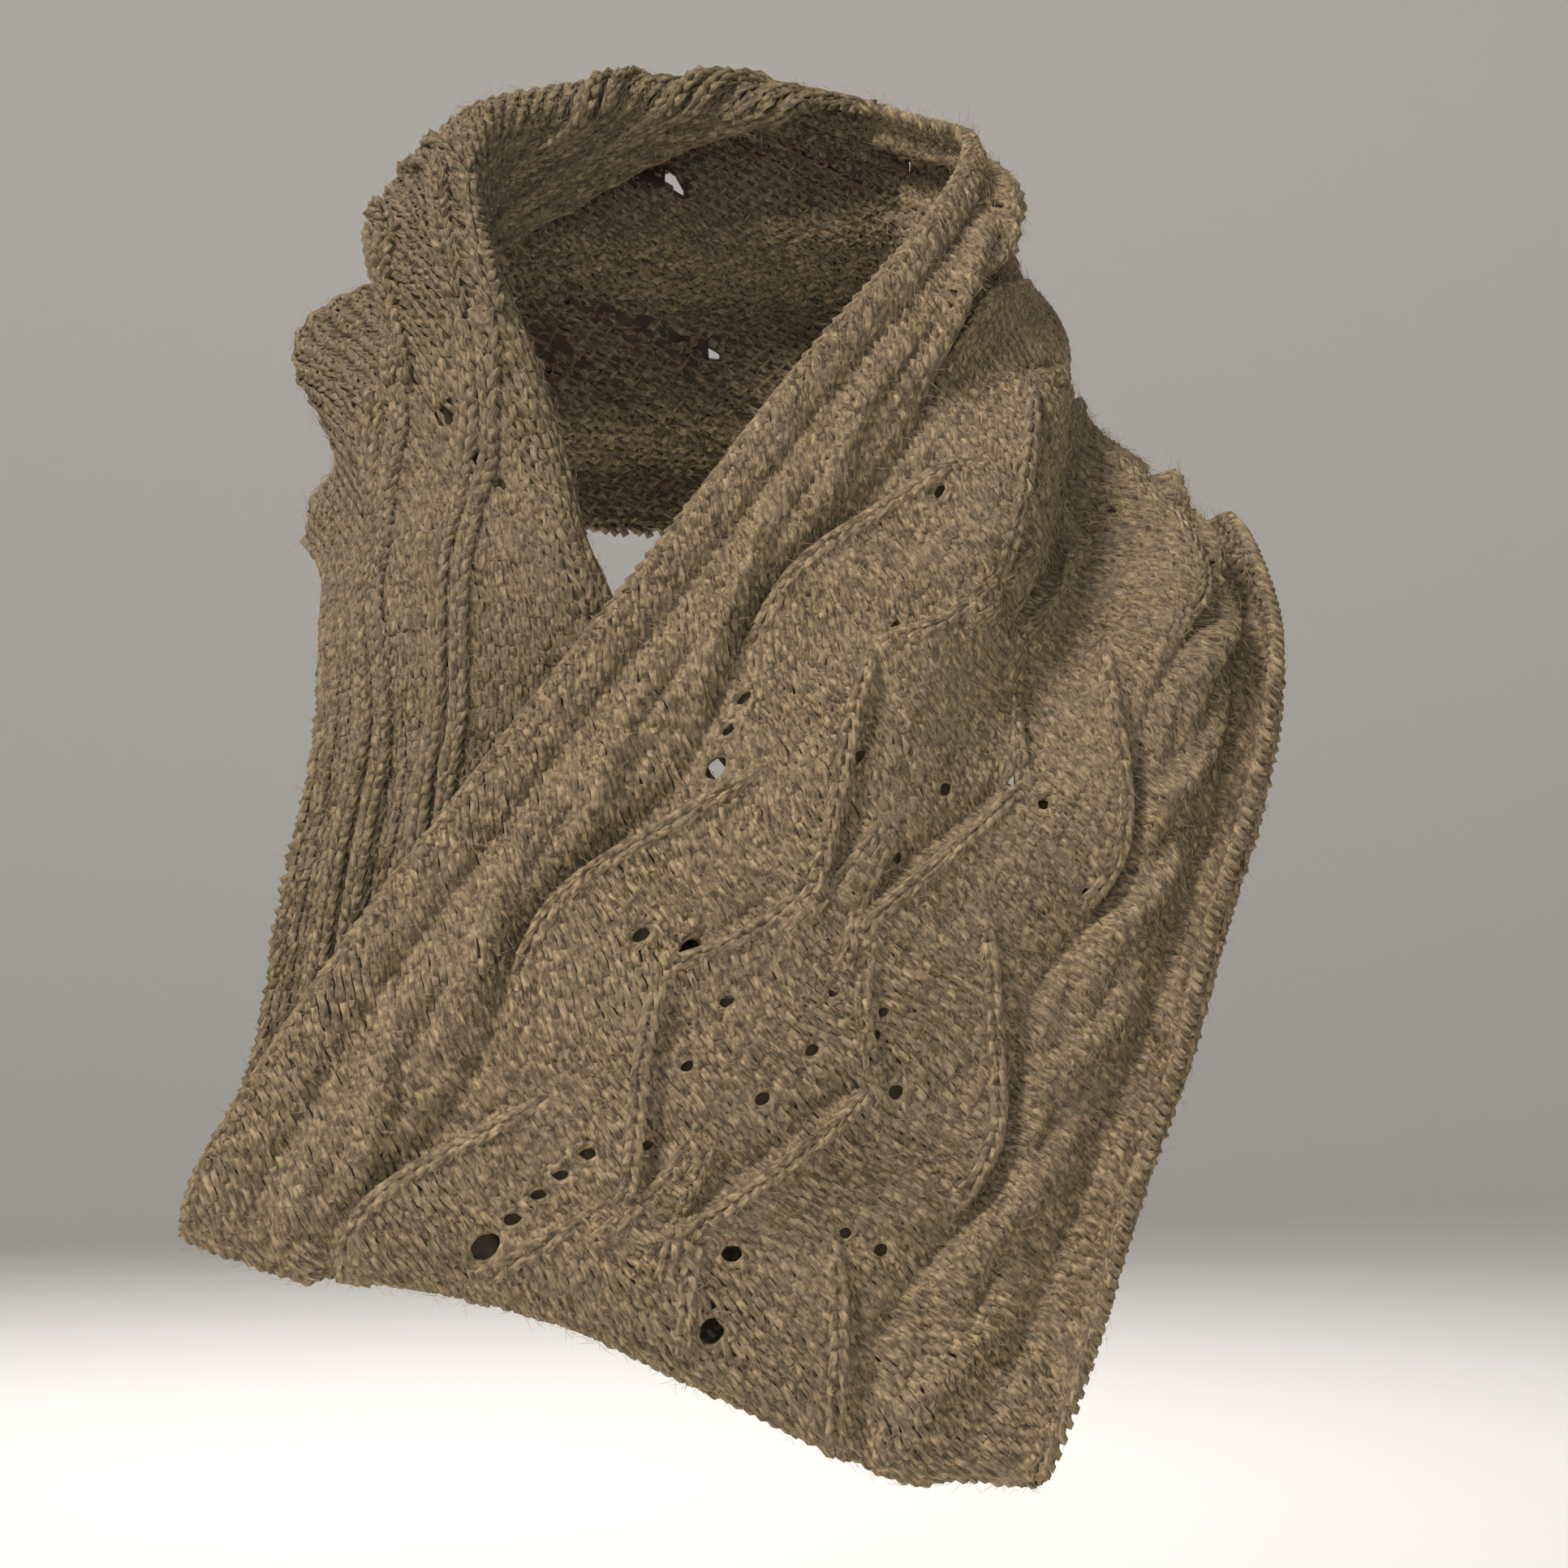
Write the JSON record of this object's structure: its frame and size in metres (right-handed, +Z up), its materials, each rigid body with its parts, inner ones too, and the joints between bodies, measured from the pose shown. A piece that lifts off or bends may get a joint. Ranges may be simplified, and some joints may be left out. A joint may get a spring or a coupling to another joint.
{
  "type": "cowl scarf",
  "caption": "Knitted cowl scarf, worn: a wide band of rope cables and leaf lace folded across the front and round the neck, hollow for the wearer.",
  "frame": {"origin": "middle of the neck opening, at the height where the neck carries the scarf", "axes": "the wearer faces -Y, their left is +X, +Z is up"},
  "size_m": [0.2361, 0.2241, 0.3102],
  "materials": {
    "front_wool": "heathered mid-brown wool, slightly fuzzy, matt",
    "under_wool": "heathered mid-brown wool, slightly fuzzy, matt",
    "nape_wool": "heathered mid-brown wool, slightly fuzzy, matt"
  },
  "bodies": {
    "root": {"front_wrap": "front_wool", "under_wrap": "under_wool", "nape_wrap": "nape_wool"}
  },
  "joints": []
}
